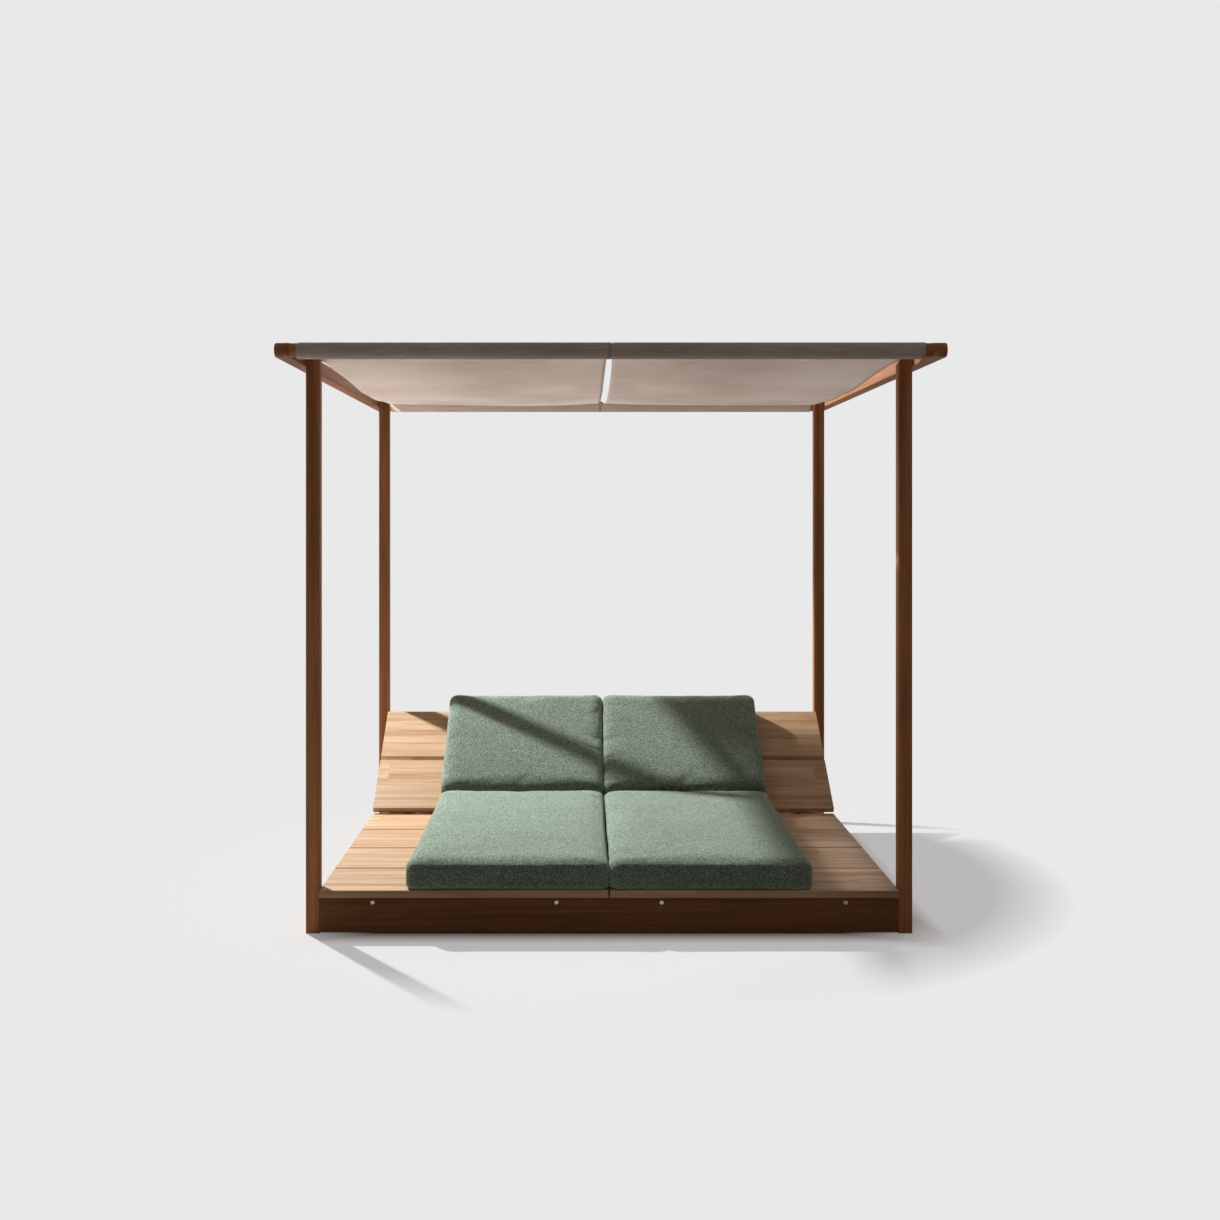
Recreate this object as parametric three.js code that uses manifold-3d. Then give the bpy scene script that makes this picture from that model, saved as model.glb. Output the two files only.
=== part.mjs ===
// Outdoor double daybed with a canopy.
// Two slatted lounger halves lie side by side between four posts. Each half has a deck of four wide
// boards on two rails and a tilting back of two boards on cranked arms, held up by a folding prop
// whose foot rod drops into notches cut in the rails. Side beams on the posts carry a front and a
// rear bar, and a pair of canvas panels hangs between the bars. Lengths are in millimetres, +Z is
// up, the front faces -Y, and the origin is on the ground at the middle of the daybed.

import * as THREE from "three";
import { mergeVertices } from "three/addons/utils/BufferGeometryUtils.js";
import Module from "manifold-3d";

const wasm = await Module();
wasm.setup();

// Posts and beams
const postSide = 48;
const postChamfer = 2;
const beamWidth = 48;
const beamHeight = 48;
const overallHeight = 2021;
const barOverhang = 283;
const barDiameter = 46;
const tenonDiameter = 28;
const tenonDepth = 30;

// Deck
const moduleWidth = 1000;
const centreGap = 6;
const sideClearance = 4;
const boardWidth = 329;
const boardThickness = 25;
const boardGap = 10;
const backBoardWidth = 301.5;
const backBoardGap = 19;
const hingeGap = 12;
const boardChamfer = 2.5;
const fixedBoardCount = 4;
const backBoardCount = 2;
const nosing = 31;
const deckHeight = 156;

// Fascias and rails
const fasciaThickness = 28;
const fasciaGroundClearance = 4;
const fasciaTenonThickness = 10;
const fasciaTenonLength = 20;
const fasciaTenonBottom = 30;
const fasciaTenonTop = 110;
const railWidth = 28;
const railHeight = 62;
const railHalfSpacing = 320;

// Clearances
const seatGap = 0.3;
const restGap = 0.5;
const sideRunningGap = 2;
const overrun = 2;

// Bolts
const boltDiameter = 8;
const boltHeadDiameter = 16;
const boltHeadHeight = 4.4;
const socketAcrossCorners = 6;
const socketSides = 6;
const socketDepth = 2.6;
const boltHeight = 108;
const fasciaBoltBite = 42;
const beamBoltBite = 26;

// Tilting backs
const restAngleDegrees = 35;
const pivotBelowDeck = 38;
const pivotAheadOfBoard = 56;
const armWidth = 24;
const armDepth = 40;
const armEyeRadius = 12;
const armReach = 609;
const armTailRise = 18;
const armTailLength = 60;
const crankAngleDegrees = 45;
const crankClearance = 2;
const crankDepth = 57;
const crankRun = 32;
const crankBlend = 40;
const hingeBoltDiameter = 10;
const hingeHeadDiameter = 18;
const hingeHeadHeight = 5;
const hingeNutLength = 7;

// Props and notches
const flatFootInset = 65;
const propLegWidth = 24;
const propLegRadius = 12;
const propLegInset = 6;
const propPinDiameter = 12;
const propPinProud = 3;
const footRodDiameter = 14;
const notchAnglesDegrees = [0, 22.5, 35, 42.5];
const notchDepth = 5;
const notchRamp = 26;
const notchEndRoom = 5;
const pinPocketWidth = 18;
const pinPocketDepth = 20;

// Cushions
const cushionWidth = 700;
const cushionGap = 6;
const cushionEdgeThickness = 108;
const cushionCrown = 12;
const cushionEdgeRadius = 26;
const cushionCornerRadius = 38;
const cushionDrawIn = 5;
const seatCushionSetback = 2;
const seatCushionRear = 296;
const backCushionStart = 82;
const backCushionEnd = 678;

// Canopy
const canvasThickness = 3;
const canvasBarGap = 0.5;
const canvasSideInset = 23;
const canvasCentreGap = 2;
const canvasSag = 76;
const canvasEdgeDrawIn = 62;
const canvasSlitHalf = 12;
const pocketLength = 107;
const pocketDroop = 22;
const drawInPower = 4;
const slitPower = 8;

// Counts and steps of facets
const roundSegments = 24;
const boltSegments = 16;
const beamEndSegments = 12;
const canvasStops = 26;
const cushionCornerStops = 4;
const cushionSideShares = [-0.6, -0.2, 0.2, 0.6];
const cushionLowerDegrees = [-90, -55, -20];
const cushionUpperDegrees = [20, 50, 80];
const cushionCrownShares = [0.2, 0.45, 0.75];
const canvasSteps = 2;
const pocketArcStops = 12;
const pocketDroopStops = 7;
const pocketUpperShares = [0.75, 0.5, 0.25];
const notchStops = 5;
const armEyeStops = 8;
const notchRampDegrees = -115;

// Places that follow from the sizes above
const radians = Math.PI / 180;
const half = 0.5;
const postInner = centreGap * half + moduleWidth + sideClearance;
const postOuter = postInner + postSide;
const moduleCentre = (centreGap + moduleWidth) * half;
const boardPitch = boardWidth + boardGap;
const fixedDeckLength = fixedBoardCount * boardPitch - boardGap;
const backBoardPitch = backBoardWidth + backBoardGap;
const backLength = backBoardCount * backBoardPitch - backBoardGap;
const deckHalfDepth = (fixedDeckLength + hingeGap + backLength) * half;
const frameHalfDepth = deckHalfDepth - nosing;
const postCentreY = frameHalfDepth - postSide * half;
const boardUnderside = deckHeight - boardThickness;
const fixedDeckRear = fixedDeckLength - deckHalfDepth;
const backBoardFront = fixedDeckRear + hingeGap;
const pivotY = backBoardFront - pivotAheadOfBoard;
const pivotZ = deckHeight - pivotBelowDeck;
const pivotToBoard = pivotBelowDeck - boardThickness;
const railEnd = frameHalfDepth - fasciaThickness;
const propLength = (railEnd - flatFootInset - pivotY) * half;
const railBottom = boardUnderside - railHeight;
const barY = frameHalfDepth + barOverhang;
const barZ = overallHeight - beamHeight * half;
const armInner = railHalfSpacing + railWidth * half + sideRunningGap;
const legOuter = railHalfSpacing - railWidth * half - propLegInset;
const cushionCentre = (cushionGap + cushionWidth) * half;
const sleeveInnerRadius = barDiameter * half + canvasBarGap;
const sleeveOuterRadius = sleeveInnerRadius + canvasThickness;
const seamY = barY - pocketLength;

const wood = { color: 0x9a6a43, roughness: 0.62, metalness: 0 };
const paleWood = { color: 0xd9ab7c, roughness: 0.6, metalness: 0 };
const steel = { color: 0xb9bbbd, roughness: 0.32, metalness: 1 };
const greenWeave = { color: 0x6f8d7c, roughness: 0.95, metalness: 0 };
const canvas = { color: 0xcdbfae, roughness: 0.9, metalness: 0 };

const daybed = new THREE.Group();

const sides = [
  { name: "left", sign: -1 },
  { name: "right", sign: 1 },
];
const ends = [
  { name: "front", sign: -1 },
  { name: "rear", sign: 1 },
];

function addPiece(parent, name, geometry, finish) {
  const piece = new THREE.Mesh(geometry, new THREE.MeshStandardMaterial(finish));
  piece.name = name;
  parent.add(piece);
  return piece;
}

// Solids that are cut or joined

function toSolid(geometry) {
  const bare = geometry.clone();
  bare.deleteAttribute("normal");
  bare.deleteAttribute("uv");
  const merged = mergeVertices(bare);
  const vertProperties = merged.attributes.position.array;
  const triVerts = new Uint32Array(merged.index.array);
  return new wasm.Manifold(new wasm.Mesh({ numProp: 3, vertProperties, triVerts }));
}

function toGeometry(solid) {
  const mesh = solid.getMesh();
  const indexed = new THREE.BufferGeometry();
  indexed.setAttribute("position", new THREE.BufferAttribute(mesh.vertProperties, mesh.numProp));
  indexed.setIndex(new THREE.BufferAttribute(mesh.triVerts, 1));
  const faceted = indexed.toNonIndexed();
  faceted.computeVertexNormals();
  return faceted;
}

function carve(geometry, cutters) {
  let solid = toSolid(geometry);
  for (const cutter of cutters) {
    solid = solid.subtract(toSolid(cutter));
  }
  return toGeometry(solid);
}

function fuse(geometries) {
  const [first, ...others] = geometries.map(toSolid);
  return toGeometry(others.reduce((sum, solid) => sum.add(solid), first));
}

// Basic shapes

function blockBetween([x0, x1], [y0, y1], [z0, z1]) {
  const block = new THREE.BoxGeometry(x1 - x0, y1 - y0, z1 - z0);
  return block.translate((x0 + x1) * half, (y0 + y1) * half, (z0 + z1) * half);
}

function roundAlongX(radius, x0, x1, y, z, segments = boltSegments) {
  const round = new THREE.CylinderGeometry(radius, radius, x1 - x0, segments);
  return round.rotateZ(Math.PI * half).translate((x0 + x1) * half, y, z);
}

function roundAlongY(radius, y0, y1, x, z, segments = boltSegments) {
  const round = new THREE.CylinderGeometry(radius, radius, y1 - y0, segments);
  return round.translate(x, (y0 + y1) * half, z);
}

// A flat outline whose four corners are cut at 45 degrees.
function chamferedOutline([u0, u1], [v0, v1], cut) {
  return [
    [u0 + cut, v0],
    [u1 - cut, v0],
    [u1, v0 + cut],
    [u1, v1 - cut],
    [u1 - cut, v1],
    [u0 + cut, v1],
    [u0, v1 - cut],
    [u0, v0 + cut],
  ];
}

function shapeOf(points) {
  return new THREE.Shape(points.map(([u, v]) => new THREE.Vector2(u, v)));
}

// Turns a shape drawn in depth and height so that its extrusion runs along X.
function alongX(geometry) {
  const acrossDepth = new THREE.Vector3(0, 1, 0);
  const upwards = new THREE.Vector3(0, 0, 1);
  const sideways = new THREE.Vector3(1, 0, 0);
  return geometry.applyMatrix4(new THREE.Matrix4().makeBasis(acrossDepth, upwards, sideways));
}

function extrudeAcross(shape, x0, x1, curveSegments = beamEndSegments) {
  const settings = { depth: x1 - x0, bevelEnabled: false, curveSegments };
  return alongX(new THREE.ExtrudeGeometry(shape, settings)).translate(x0, 0, 0);
}

function arcPoints(centre, radius, fromDegrees, toDegrees, stops) {
  const points = [];
  for (let i = 0; i <= stops; i++) {
    const angle = (fromDegrees + ((toDegrees - fromDegrees) * i) / stops) * radians;
    points.push([centre[0] + radius * Math.cos(angle), centre[1] + radius * Math.sin(angle)]);
  }
  return points;
}

// Bolt with a low round head and a hexagon socket, its head's underside at the origin, turned
// about the Y axis with the shank towards -Y.
function socketBolt(diameter, length) {
  const profile = [
    [0, -length],
    [diameter * half, -length],
    [diameter * half, 0],
    [boltHeadDiameter * half, 0],
    [boltHeadDiameter * half, boltHeadHeight * half],
    [socketAcrossCorners, boltHeadHeight],
    [0, boltHeadHeight],
  ];
  const points = profile.map(([radius, height]) => new THREE.Vector2(radius, height));
  const body = new THREE.LatheGeometry(points, boltSegments);
  const socketLength = socketDepth + overrun;
  const socketRadius = socketAcrossCorners * half;
  const socket = new THREE.CylinderGeometry(socketRadius, socketRadius, socketLength, socketSides);
  socket.translate(0, boltHeadHeight - socketDepth + socketLength * half, 0);
  return carve(body, [socket]);
}

// Posts, beams and bars

function addPost(side, end) {
  const [x0, x1] = side.sign < 0 ? [-postOuter, -postInner] : [postInner, postOuter];
  const y = end.sign * postCentreY;
  const footprint = chamferedOutline([x0, x1], [y - postSide * half, y + postSide * half], postChamfer);
  const settings = { depth: overallHeight, bevelEnabled: false };
  const blank = new THREE.ExtrudeGeometry(shapeOf(footprint), settings);
  const boltHole = roundAlongX(boltDiameter * half + seatGap, x0 - overrun, x1 + overrun, y, barZ);
  const mortise = fasciaTenon(side, end, seatGap);
  addPiece(daybed, `post_${end.name}_${side.name}`, carve(blank, [boltHole, mortise]), wood);
}

function addBeam(side) {
  const tip = barY + beamHeight * half;
  const shape = new THREE.Shape();
  shape.moveTo(-barY, barZ - beamHeight * half);
  shape.lineTo(barY, barZ - beamHeight * half);
  shape.absarc(barY, barZ, tip - barY, -Math.PI * half, Math.PI * half, false);
  shape.lineTo(-barY, barZ + beamHeight * half);
  shape.absarc(-barY, barZ, tip - barY, Math.PI * half, -Math.PI * half, false);
  const beamOuter = postOuter + beamWidth;
  const [x0, x1] = side.sign < 0 ? [-beamOuter, -postOuter] : [postOuter, beamOuter];
  const inner = side.sign * postOuter;
  const holes = ends.flatMap((end) => [
    holeInto(inner, side.sign, tenonDepth, tenonDiameter, end.sign * barY, roundSegments),
    holeInto(inner, side.sign, beamBoltBite, boltDiameter, end.sign * postCentreY, boltSegments),
  ]);
  addPiece(daybed, `side_beam_${side.name}`, carve(extrudeAcross(shape, x0, x1), holes), wood);
}

// A blind hole that runs outwards into a beam from its inner face.
function holeInto(innerFace, sign, depth, diameter, y, segments) {
  const far = innerFace + sign * (depth + overrun * half);
  const near = innerFace - sign * overrun;
  const radius = diameter * half + seatGap;
  return roundAlongX(radius, Math.min(near, far), Math.max(near, far), y, barZ, segments);
}

function addBar(end) {
  const reach = postOuter + tenonDepth;
  const profile = [
    [0, -reach],
    [tenonDiameter * half, -reach],
    [tenonDiameter * half, -postOuter],
    [barDiameter * half, -postOuter],
    [barDiameter * half, postOuter],
    [tenonDiameter * half, postOuter],
    [tenonDiameter * half, reach],
    [0, reach],
  ];
  const points = profile.map(([radius, along]) => new THREE.Vector2(radius, along));
  const bar = new THREE.LatheGeometry(points, roundSegments).rotateZ(Math.PI * half);
  bar.translate(0, end.sign * barY, barZ);
  addPiece(daybed, `canopy_bar_${end.name}`, bar, wood);
}

function addBeamBolt(side, end) {
  const bolt = socketBolt(boltDiameter, postSide + beamBoltBite);
  bolt.rotateZ(side.sign * Math.PI * half);
  bolt.translate(side.sign * postInner, end.sign * postCentreY, barZ);
  addPiece(daybed, `beam_bolt_${end.name}_${side.name}`, bolt, steel);
}

// Fascias, rails and the fixed deck

// The tongue at one end of a fascia, or with room around it, its mortise.
function fasciaTenon(side, end, room) {
  const middle = end.sign * (frameHalfDepth - fasciaThickness * half);
  const reach = fasciaTenonThickness * half + room;
  const near = side.sign * (postInner - overrun);
  const far = side.sign * (postInner + fasciaTenonLength + room);
  const across = [Math.min(near, far), Math.max(near, far)];
  return blockBetween(across, [middle - reach, middle + reach], [fasciaTenonBottom - room, fasciaTenonTop + room]);
}

function addFascia(end) {
  const outer = end.sign * frameHalfDepth;
  const inner = end.sign * railEnd;
  const depth = [Math.min(outer, inner), Math.max(outer, inner)];
  const top = end.sign < 0 ? boardUnderside : boardUnderside - restGap;
  const plank = blockBetween([-postInner, postInner], depth, [fasciaGroundClearance, top]);
  const board = fuse([plank, ...sides.map((side) => fasciaTenon(side, end, 0))]);
  const holes = railPlaces().map(({ x }) => {
    const radius = boltDiameter * half + seatGap;
    return roundAlongY(radius, depth[0] - overrun, depth[1] + overrun, x, boltHeight);
  });
  addPiece(daybed, `fascia_${end.name}`, carve(board, holes), wood);
}

// The four rails, two under each half, named by half and by the side of the half they lie on.
function railPlaces() {
  return sides.flatMap((module) =>
    sides.map((side) => ({
      label: `${module.name}_${side.sign === module.sign ? "outer" : "inner"}`,
      x: module.sign * moduleCentre + side.sign * railHalfSpacing,
    })),
  );
}

function footRodY(angleDegrees) {
  return pivotY + 2 * propLength * Math.cos(angleDegrees * radians);
}

// The row of notches in a rail's recess, from the rear to the front, as points in depth and height.
function notchRow() {
  const tip = pivotZ - footRodDiameter * half - restGap;
  const radius = footRodDiameter * half + restGap;
  const centreZ = tip - notchDepth + radius;
  const lipDegrees = -Math.asin((radius - notchDepth) / radius) / radians;
  return notchAnglesDegrees.flatMap((angle) => {
    const y = footRodY(angle);
    const seat = arcPoints([y, centreZ], radius, lipDegrees, notchRampDegrees, notchStops);
    return [...seat, [y - notchRamp, tip]];
  });
}

function railOutline() {
  const tip = pivotZ - footRodDiameter * half - restGap;
  const lowered = boardUnderside - restGap;
  const step = (fixedDeckRear + backBoardFront) * half;
  const recessRear = footRodY(notchAnglesDegrees[0]) + footRodDiameter * half + notchEndRoom + restGap;
  const recessFront = footRodY(notchAnglesDegrees.at(-1)) - notchRamp - notchEndRoom;
  const pocketRear = pivotY + propLength + pinPocketWidth * half;
  const pocketFront = pocketRear - pinPocketWidth;
  const pocketFloor = boardUnderside - pinPocketDepth;
  return [
    [-railEnd, railBottom],
    [railEnd, railBottom],
    [railEnd, lowered],
    [recessRear, lowered],
    [recessRear, tip],
    ...notchRow(),
    [recessFront, tip],
    [recessFront, lowered],
    [pocketRear, lowered],
    [pocketRear, pocketFloor],
    [pocketFront, pocketFloor],
    [pocketFront, lowered],
    [step, lowered],
    [step, boardUnderside],
    [-railEnd, boardUnderside],
  ];
}

function addRail({ label, x }) {
  const [x0, x1] = [x - railWidth * half, x + railWidth * half];
  const blank = extrudeAcross(shapeOf(railOutline()), x0, x1);
  const radius = boltDiameter * half + seatGap;
  const bore = fasciaBoltBite + restGap;
  const pivotHole = roundAlongX(hingeBoltDiameter * half + seatGap, x0 - overrun, x1 + overrun, pivotY, pivotZ);
  const frontBore = roundAlongY(radius, -railEnd - overrun, -railEnd + bore, x, boltHeight);
  const rearBore = roundAlongY(radius, railEnd - bore, railEnd + overrun, x, boltHeight);
  addPiece(daybed, `rail_${label}`, carve(blank, [pivotHole, frontBore, rearBore]), wood);
}

function addFasciaBolt({ label, x }, end) {
  const bolt = socketBolt(boltDiameter, fasciaThickness + fasciaBoltBite);
  if (end.sign < 0) {
    bolt.rotateX(Math.PI);
  }
  bolt.translate(x, end.sign * frameHalfDepth, boltHeight);
  addPiece(daybed, `fascia_bolt_${end.name}_${label}`, bolt, steel);
}

function boardGeometry(y0, z0, width) {
  const outline = chamferedOutline([y0, y0 + width], [z0, z0 + boardThickness], boardChamfer);
  return extrudeAcross(shapeOf(outline), -moduleWidth * half, moduleWidth * half);
}

function addFixedBoards(side) {
  for (let i = 0; i < fixedBoardCount; i++) {
    const board = boardGeometry(i * boardPitch - deckHalfDepth, boardUnderside, boardWidth);
    const piece = addPiece(daybed, `deck_board_${side.name}_${i + 1}`, board, paleWood);
    piece.position.x = side.sign * moduleCentre;
  }
}

// Tilting back, drawn lying flat about its pivot

// The arm's outline: an eye round the pivot, a crank that dips under the last fixed board so that
// the back clears it when it is up, and a straight stretch under the back's boards.
function armOutline() {
  const top = pivotToBoard - seatGap;
  const bottom = top - armDepth;
  const tilt = crankAngleDegrees * radians;
  const [along, across] = [Math.cos(tilt), Math.sin(tilt)];
  const boardFace = fixedDeckRear - pivotY + crankClearance;
  const innerCorner = [
    boardFace * along + armEyeRadius * across,
    armEyeRadius * along - boardFace * across,
  ];
  const faceTop = pivotAheadOfBoard + crankClearance;
  const tail = armReach;
  return [
    ...arcPoints([0, 0], armEyeRadius, 90 - crankAngleDegrees, 270 - crankAngleDegrees, armEyeStops),
    [crankRun, -crankDepth],
    [crankRun + crankBlend, -crankDepth],
    [crankRun + 2 * crankBlend, bottom],
    [tail - armTailLength, bottom],
    [tail, bottom + armTailRise],
    [tail, top],
    [faceTop, top],
    [faceTop, faceTop - boardFace / along],
    innerCorner,
  ];
}

function addArm(group, side, module) {
  const near = side.sign * armInner;
  const far = side.sign * (armInner + armWidth);
  const [x0, x1] = [Math.min(near, far), Math.max(near, far)];
  const blank = extrudeAcross(shapeOf(armOutline()), x0, x1);
  const pivotHole = roundAlongX(hingeBoltDiameter * half + seatGap, x0 - overrun, x1 + overrun, 0, 0);
  const pinHole = roundAlongX(propPinDiameter * half + seatGap, x0 - overrun, x1 + overrun, propLength, 0);
  const label = side.sign === module.sign ? "outer" : "inner";
  addPiece(group, `back_arm_${module.name}_${label}`, carve(blank, [pivotHole, pinHole]), wood);
}

function addHingeBolt(side, module) {
  const tip = railHalfSpacing - railWidth * half - hingeNutLength;
  const cap = armInner + armWidth;
  const profile = [
    [0, tip],
    [hingeHeadDiameter * half, tip],
    [hingeHeadDiameter * half, tip + hingeNutLength - seatGap],
    [hingeBoltDiameter * half, tip + hingeNutLength - seatGap],
    [hingeBoltDiameter * half, cap + seatGap],
    [hingeHeadDiameter * half, cap + seatGap],
    [hingeHeadDiameter * half, cap + hingeHeadHeight * half],
    [hingeBoltDiameter * half, cap + hingeHeadHeight],
    [0, cap + hingeHeadHeight],
  ];
  const points = profile.map(([radius, along]) => new THREE.Vector2(radius, along));
  const bolt = new THREE.LatheGeometry(points, boltSegments).rotateZ(-side.sign * Math.PI * half);
  bolt.translate(module.sign * moduleCentre, pivotY, pivotZ);
  const label = side.sign === module.sign ? "outer" : "inner";
  addPiece(daybed, `hinge_bolt_${module.name}_${label}`, bolt, steel);
}

function propLegGeometry(side) {
  const shape = new THREE.Shape();
  shape.moveTo(0, -propLegRadius);
  shape.lineTo(propLength, -propLegRadius);
  shape.absarc(propLength, 0, propLegRadius, -Math.PI * half, Math.PI * half, false);
  shape.lineTo(0, propLegRadius);
  shape.absarc(0, 0, propLegRadius, Math.PI * half, -Math.PI * half, false);
  const near = side.sign * (legOuter - propLegWidth);
  const far = side.sign * legOuter;
  const [x0, x1] = [Math.min(near, far), Math.max(near, far)];
  const pinHole = roundAlongX(propPinDiameter * half + seatGap, x0 - overrun, x1 + overrun, 0, 0);
  const rodHole = roundAlongX(footRodDiameter * half + seatGap, x0 - overrun, x1 + overrun, propLength, 0);
  return carve(extrudeAcross(shape, x0, x1), [pinHole, rodHole]);
}

// The prop lies at twice the back's angle to the back, so its foot stays level with the pivot.
function addProp(back, module) {
  const prop = new THREE.Group();
  prop.position.set(0, propLength, 0);
  prop.rotation.x = -2 * restAngleDegrees * radians;
  back.add(prop);
  for (const side of sides) {
    const label = side.sign === module.sign ? "outer" : "inner";
    addPiece(prop, `prop_leg_${module.name}_${label}`, propLegGeometry(side), wood);
  }
  const rodReach = railHalfSpacing + railWidth * half - sideRunningGap;
  const rod = roundAlongX(footRodDiameter * half, -rodReach, rodReach, propLength, 0);
  addPiece(prop, `prop_foot_rod_${module.name}`, rod, steel);
}

function addBack(module) {
  const back = new THREE.Group();
  back.position.set(module.sign * moduleCentre, pivotY, pivotZ);
  back.rotation.x = restAngleDegrees * radians;
  daybed.add(back);
  for (let i = 0; i < backBoardCount; i++) {
    const board = boardGeometry(pivotAheadOfBoard + i * backBoardPitch, pivotToBoard, backBoardWidth);
    addPiece(back, `back_board_${module.name}_${i + 1}`, board, paleWood);
  }
  for (const side of sides) {
    addArm(back, side, module);
  }
  const pinReach = armInner + armWidth + propPinProud;
  const pin = roundAlongX(propPinDiameter * half, -pinReach, pinReach, propLength, 0);
  addPiece(back, `prop_pin_${module.name}`, pin, steel);
  const cushion = cushionGeometry(cushionWidth, backCushionEnd - backCushionStart);
  const middle = (backCushionStart + backCushionEnd) * half;
  cushion.translate(module.sign * (cushionCentre - moduleCentre), middle, pivotBelowDeck + seatGap);
  addPiece(back, `back_cushion_${module.name}`, cushion, greenWeave);
  addProp(back, module);
}

// Cushions

// One ring of a cushion: a rectangle with round corners, and stops along the sides between them.
function cushionRing(halfWidth, halfLength, cornerRadius) {
  const [straightX, straightY] = [halfWidth - cornerRadius, halfLength - cornerRadius];
  const ring = [];
  for (const [index, [signX, signY]] of [[1, -1], [1, 1], [-1, 1], [-1, -1]].entries()) {
    const start = (index - 1) * 90;
    const centre = [signX * straightX, signY * straightY];
    ring.push(...arcPoints(centre, cornerRadius, start, start + 90, cushionCornerStops));
    for (const share of cushionSideShares) {
      const besideY = [signX * halfWidth, -signY * share * straightY];
      const besideX = [-signX * share * straightX, signY * halfLength];
      ring.push(signX === signY ? besideX : besideY);
    }
  }
  return ring;
}

// Pulls a point of a ring inwards, most of all half way along the cushion's sides.
function drawIn([x, y], halfWidth, halfLength) {
  const pullX = cushionDrawIn * (1 - (y / halfLength) ** 2);
  const pullY = cushionDrawIn * (1 - (x / halfWidth) ** 2);
  return [x * (1 - pullX / halfWidth), y * (1 - pullY / halfLength)];
}

// The levels of a cushion from its flat base to the middle of its crown, as insets and heights.
function cushionLevels(width) {
  const radius = cushionEdgeRadius;
  const levels = [];
  for (const degrees of cushionLowerDegrees) {
    const angle = degrees * radians;
    levels.push([radius * (1 - Math.cos(angle)), radius * (1 + Math.sin(angle))]);
  }
  for (const degrees of cushionUpperDegrees) {
    const angle = degrees * radians;
    const drop = radius * (1 - Math.sin(angle));
    levels.push([radius * (1 - Math.cos(angle)), cushionEdgeThickness - drop]);
  }
  for (const share of cushionCrownShares) {
    const inset = radius + share * (width * half - radius);
    levels.push([inset, cushionEdgeThickness + cushionCrown * Math.sin(share * Math.PI * half)]);
  }
  return levels;
}

function cushionGeometry(width, length) {
  const levels = cushionLevels(width);
  const positions = [0, 0, 0];
  let count = 0;
  for (const [inset, height] of levels) {
    const halfWidth = width * half - inset;
    const halfLength = length * half - inset;
    const corner = Math.max(cushionCornerRadius - inset, cushionCornerRadius * half);
    const ring = cushionRing(halfWidth, halfLength, corner);
    count = ring.length;
    for (const point of ring) {
      const [x, y] = drawIn(point, halfWidth, halfLength);
      positions.push(x, y, height);
    }
  }
  positions.push(0, 0, cushionEdgeThickness + cushionCrown);
  const index = [];
  const last = positions.length / 3 - 1;
  for (let i = 0; i < count; i++) {
    const next = (i + 1) % count;
    index.push(0, 1 + next, 1 + i);
    for (let level = 1; level < levels.length; level++) {
      const below = 1 + (level - 1) * count;
      const above = below + count;
      index.push(below + i, below + next, above + next, below + i, above + next, above + i);
    }
    const top = 1 + (levels.length - 1) * count;
    index.push(last, top + i, top + next);
  }
  const cushion = new THREE.BufferGeometry();
  cushion.setAttribute("position", new THREE.Float32BufferAttribute(positions, 3));
  cushion.setIndex(index);
  cushion.computeVertexNormals();
  return cushion;
}

function addSeatCushion(side) {
  const front = seatCushionSetback - deckHalfDepth;
  const cushion = cushionGeometry(cushionWidth, seatCushionRear - front);
  const middle = (front + seatCushionRear) * half;
  cushion.translate(side.sign * cushionCentre, middle, deckHeight + seatGap);
  addPiece(daybed, `seat_cushion_${side.name}`, cushion, greenWeave);
}

// Canopy

// Height of the middle of the canvas as it hangs between the tops of the two bars.
function hangingHeight(y) {
  const barTop = barZ + sleeveInnerRadius + canvasThickness * half;
  return barTop - canvasSag * (1 - (y / barY) ** 2);
}

// The slack lower side of a bar pocket, from below the bar back to the seam.
function pocketUnderside(raise) {
  const start = new THREE.Vector2(barY, barZ - sleeveOuterRadius);
  const seam = new THREE.Vector2(seamY, hangingHeight(seamY) - canvasThickness * half);
  const droop = new THREE.Vector2((barY + seamY) * half, start.y - pocketDroop);
  const curve = new THREE.QuadraticBezierCurve(start, droop, seam);
  return curve.getPoints(pocketDroopStops).map((point) => [point.x, point.y + raise]);
}

// Rear pocket in section, from the seam round the bar and back, with its hollow for the bar.
function rearPocketSection() {
  const rise = canvasThickness * half;
  const sleeve = arcPoints([barY, barZ], sleeveOuterRadius, -90, 90, pocketArcStops);
  const droop = pocketUnderside(0).reverse().slice(0, -1);
  const shape = shapeOf([...droop, ...sleeve, [seamY, hangingHeight(seamY) + rise]]);
  shape.holes.push(shapeOf(pocketOutline(rise)));
  return shape;
}

// The hanging sheet in section, as a row of short bays from seam to seam.
function sheetSections() {
  const rise = canvasThickness * half;
  const sections = [];
  for (let i = 0; i < canvasStops; i++) {
    const y0 = seamY * ((2 * i) / canvasStops - 1);
    const y1 = seamY * ((2 * (i + 1)) / canvasStops - 1);
    const [z0, z1] = [hangingHeight(y0), hangingHeight(y1)];
    sections.push(shapeOf([[y0, z0 - rise], [y1, z1 - rise], [y1, z1 + rise], [y0, z0 + rise]]));
  }
  return sections;
}

// The hollow of the rear pocket: round the bar, then narrowing towards the seam.
function pocketOutline(rise) {
  const round = arcPoints([barY, barZ], sleeveInnerRadius, 90, -90, pocketArcStops);
  const lower = pocketUnderside(canvasThickness).slice(1, -2);
  const upper = [];
  for (const share of pocketUpperShares) {
    const y = barY - share * pocketLength;
    upper.push([y, hangingHeight(y) - rise]);
  }
  return [...round, ...lower, ...upper];
}

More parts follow.
